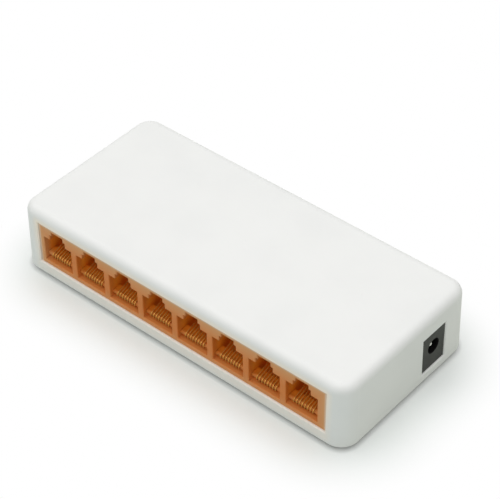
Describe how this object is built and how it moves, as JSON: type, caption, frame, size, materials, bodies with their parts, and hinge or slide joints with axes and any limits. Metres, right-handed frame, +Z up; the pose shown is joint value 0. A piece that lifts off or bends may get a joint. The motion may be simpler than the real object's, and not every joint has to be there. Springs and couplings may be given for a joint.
{
  "type": "desktop network switch",
  "caption": "Small white desktop network switch with a row of ganged modular sockets along the front and a barrel power inlet in one side.",
  "frame": {"origin": "middle of the footprint, on the plane of the four feet", "axes": "+X along the row of sockets towards the side with the power inlet, +Y from the sockets to the back, +Z up"},
  "size_m": [0.13, 0.06, 0.025],
  "materials": {
    "case_white": "fine satin moulded white plastic",
    "foot_rubber": "matt black rubber",
    "board_green": "green solder mask over glass-fibre board",
    "bright_steel": "bright plated steel",
    "socket_orange": "orange moulded plastic",
    "carrier_orange": "deeper orange moulded plastic",
    "contact_gold": "gold-plated spring wire",
    "inlet_black": "black moulded plastic",
    "pin_nickel": "nickel-plated pin",
    "tinned_metal": "tinned strip",
    "chip_black": "black moulding compound",
    "can_aluminium": "drawn aluminium can",
    "ferrite_grey": "dark ferrite"
  },
  "bodies": {
    "switch": {"top_cover": "case_white", "base_plate": "case_white", "rubber_feet": "foot_rubber", "circuit_board": "board_green", "board_screws": "bright_steel", "port_housing": "socket_orange", "contact_carriers": "carrier_orange", "contact_tails": "contact_gold", "power_jack_housing": "inlet_black", "power_jack_pin": "pin_nickel", "power_jack_terminals": "tinned_metal", "switch_chip": "chip_black", "chip_leads": "tinned_metal", "transformer_modules": "chip_black", "transformer_leads": "tinned_metal", "crystal_can": "bright_steel", "filter_capacitors": "can_aluminium", "power_inductor": "ferrite_grey", "voltage_regulator": "chip_black", "rectifier_diode": "chip_black", "chip_resistors": "chip_black"},
    "socket_1_contacts": {"contact_springs_1": "contact_gold"},
    "socket_2_contacts": {"contact_springs_2": "contact_gold"},
    "socket_3_contacts": {"contact_springs_3": "contact_gold"},
    "socket_4_contacts": {"contact_springs_4": "contact_gold"},
    "socket_5_contacts": {"contact_springs_5": "contact_gold"},
    "socket_6_contacts": {"contact_springs_6": "contact_gold"},
    "socket_7_contacts": {"contact_springs_7": "contact_gold"},
    "socket_8_contacts": {"contact_springs_8": "contact_gold"},
    "inlet_leaf": {"power_jack_spring": "contact_gold"}
  },
  "joints": [
    {"name": "socket_1_contacts_flex", "type": "hinge", "parent": "switch", "child": "socket_1_contacts", "pos_m": [-0.0494, -0.02759, 0.00914], "axis": [-1, 0, 0], "range_deg": [0, 14], "stiffness_Nm_per_rad": 0.3},
    {"name": "socket_2_contacts_flex", "type": "hinge", "parent": "switch", "child": "socket_2_contacts", "pos_m": [-0.03542, -0.02759, 0.00914], "axis": [-1, 0, 0], "range_deg": [0, 14], "stiffness_Nm_per_rad": 0.3},
    {"name": "socket_3_contacts_flex", "type": "hinge", "parent": "switch", "child": "socket_3_contacts", "pos_m": [-0.02145, -0.02759, 0.00914], "axis": [-1, 0, 0], "range_deg": [0, 14], "stiffness_Nm_per_rad": 0.3},
    {"name": "socket_4_contacts_flex", "type": "hinge", "parent": "switch", "child": "socket_4_contacts", "pos_m": [-0.00749, -0.02759, 0.00914], "axis": [-1, 0, 0], "range_deg": [0, 14], "stiffness_Nm_per_rad": 0.3},
    {"name": "socket_5_contacts_flex", "type": "hinge", "parent": "switch", "child": "socket_5_contacts", "pos_m": [0.00649, -0.02759, 0.00914], "axis": [-1, 0, 0], "range_deg": [0, 14], "stiffness_Nm_per_rad": 0.3},
    {"name": "socket_6_contacts_flex", "type": "hinge", "parent": "switch", "child": "socket_6_contacts", "pos_m": [0.02046, -0.02759, 0.00914], "axis": [-1, 0, 0], "range_deg": [0, 14], "stiffness_Nm_per_rad": 0.3},
    {"name": "socket_7_contacts_flex", "type": "hinge", "parent": "switch", "child": "socket_7_contacts", "pos_m": [0.03442, -0.02759, 0.00914], "axis": [-1, 0, 0], "range_deg": [0, 14], "stiffness_Nm_per_rad": 0.3},
    {"name": "socket_8_contacts_flex", "type": "hinge", "parent": "switch", "child": "socket_8_contacts", "pos_m": [0.0484, -0.02759, 0.00914], "axis": [-1, 0, 0], "range_deg": [0, 14], "stiffness_Nm_per_rad": 0.3},
    {"name": "inlet_leaf_flex", "type": "hinge", "parent": "switch", "child": "inlet_leaf", "pos_m": [0.05295, 0.0126, 0.0086], "axis": [0, 1, 0], "range_deg": [0, 4], "stiffness_Nm_per_rad": 0.3}
  ]
}
